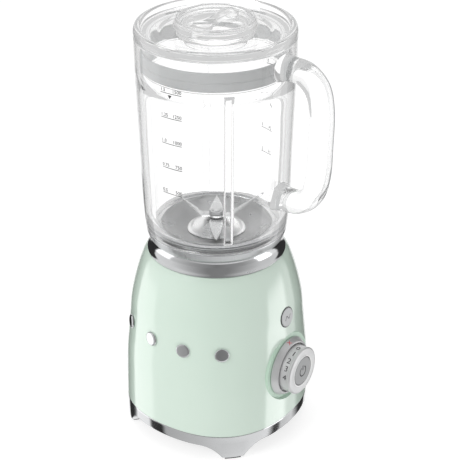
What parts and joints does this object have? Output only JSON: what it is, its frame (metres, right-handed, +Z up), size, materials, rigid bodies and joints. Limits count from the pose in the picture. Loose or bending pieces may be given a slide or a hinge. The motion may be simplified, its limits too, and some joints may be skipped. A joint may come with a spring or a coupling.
{
  "type": "jug blender",
  "caption": "Countertop blender: motor base with a dial and push buttons, lift-off clear jug with a handle and cross blades, plug-in lid and measuring cap.",
  "frame": {"origin": "on the table, at the middle of the whole object's box; the jug's axis stands 17.2 mm towards -X from it", "axes": "+Z up, -Y towards the front with the trim studs, +X towards the dial and the jug's handle"},
  "size_m": [0.1982, 0.163, 0.397],
  "materials": {
    "mint_enamel": "glossy pastel mint enamel, smooth, with a clear top coat",
    "chrome": "polished chrome plate",
    "satin_metal": "satin silver plated, fine turned grain",
    "blade_steel": "ground stainless steel with a polished edge",
    "motor_steel": "plain machined steel",
    "clear_jug": "clear moulded jug wall, polished",
    "clear_lid": "clear moulded plastic, polished",
    "grey_silicone": "soft grey silicone, matt",
    "grey_plastic": "light grey moulded plastic, fine texture",
    "dark_plastic": "near-black moulded plastic, fine texture",
    "foot_rubber": "black rubber, matt",
    "circuit_board": "green circuit board"
  },
  "bodies": {
    "base": {"body_shell": "mint_enamel", "base_skirt": "chrome", "bottom_cover": "dark_plastic", "rubber_foot_1": "foot_rubber", "rubber_foot_2": "foot_rubber", "rubber_foot_3": "foot_rubber", "rubber_foot_4": "foot_rubber", "cover_screw_1": "motor_steel", "cover_screw_2": "motor_steel", "cover_screw_3": "motor_steel", "cover_screw_4": "motor_steel", "cord_gland": "dark_plastic", "top_collar": "chrome", "jug_seat": "dark_plastic", "motor_housing": "grey_plastic", "motor_end_cap": "grey_plastic", "motor_stator": "motor_steel", "bearing_upper": "motor_steel", "bearing_lower": "motor_steel", "dial_bezel": "chrome", "speed_switch": "dark_plastic", "control_board": "circuit_board", "pulse_switch": "dark_plastic", "trim_stud_1": "chrome", "trim_stud_2": "chrome", "trim_stud_3": "chrome", "trim_stud_4": "chrome"},
    "drive": {"motor_rotor": "motor_steel", "motor_shaft": "motor_steel", "cooling_fan": "dark_plastic", "drive_coupling": "dark_plastic"},
    "jug": {"jug_vessel": "clear_jug", "jug_handle": "clear_jug", "jug_base_ring": "satin_metal", "carrier_seal": "grey_silicone", "blade_carrier": "satin_metal", "blade_bush": "motor_steel"},
    "blades": {"blade_shaft": "blade_steel", "blade_lower": "blade_steel", "blade_upper": "blade_steel", "blade_nut": "blade_steel", "driven_coupling": "dark_plastic"},
    "lid": {"lid_cover": "clear_lid", "lid_seal": "grey_silicone"},
    "cap": {"measuring_cap": "clear_lid"},
    "dial": {"dial_knob": "satin_metal"},
    "start": {"start_button": "grey_plastic"},
    "pulse": {"pulse_button": "grey_plastic"}
  },
  "joints": [
    {"name": "jug_lift", "type": "slide", "parent": "base", "child": "jug", "axis": [0, 0, 1], "range_m": [0, 0.06]},
    {"name": "lid_lift", "type": "slide", "parent": "jug", "child": "lid", "axis": [0, 0, 1], "range_m": [0, 0.05]},
    {"name": "cap_lift", "type": "slide", "parent": "lid", "child": "cap", "axis": [0, 0, 1], "range_m": [0, 0.035]},
    {"name": "motor_spin", "type": "hinge", "parent": "base", "child": "drive", "pos_m": [-0.01724, 0, 0.1], "axis": [0, 0, 1], "continuous": true},
    {"name": "blade_spin", "type": "hinge", "parent": "jug", "child": "blades", "pos_m": [-0.01724, 0, 0.21], "axis": [0, 0, 1], "continuous": true},
    {"name": "dial_turn", "type": "hinge", "parent": "base", "child": "dial", "pos_m": [0.07276, 0, 0.0775], "axis": [-1, 0, 0], "range_deg": [0, 87]},
    {"name": "start_push", "type": "slide", "parent": "dial", "child": "start", "axis": [-1, 0, 0], "range_m": [0, 0.0014], "stiffness_N_per_m": 900},
    {"name": "pulse_push", "type": "slide", "parent": "base", "child": "pulse", "axis": [-0.9929, 0, -0.1186], "range_m": [0, 0.0015], "stiffness_N_per_m": 900}
  ],
  "couplings": [
    {"joint": "blade_spin", "follows": "motor_spin", "ratio": 1}
  ]
}
